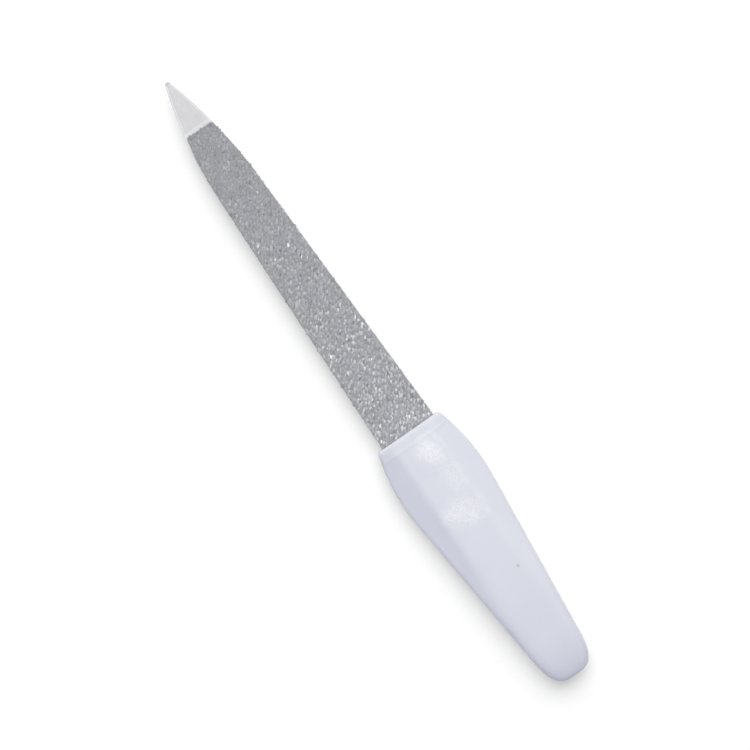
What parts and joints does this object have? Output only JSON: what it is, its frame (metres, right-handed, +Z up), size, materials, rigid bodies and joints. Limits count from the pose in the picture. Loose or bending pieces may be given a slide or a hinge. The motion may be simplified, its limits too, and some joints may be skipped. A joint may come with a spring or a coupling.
{
  "type": "nail file",
  "caption": "Pointed steel nail file with a grey grit coat on both faces and a white moulded plastic handle.",
  "frame": {"origin": "centre of the bounding box in plan, on the plane of the handle's lower flat", "axes": "+X runs along the file from the blade's point towards the handle's tail, +Y across the blade, +Z up out of the blade's front face"},
  "size_m": [0.15, 0.0192, 0.0064],
  "materials": {
    "steel": "satin",
    "coarse_grit": "matte",
    "fine_grit": "matte",
    "handle_plastic": "gloss"
  },
  "bodies": {
    "root": {"blade": "steel", "front_grit": "coarse_grit", "back_grit": "fine_grit", "handle": "handle_plastic"}
  },
  "joints": []
}
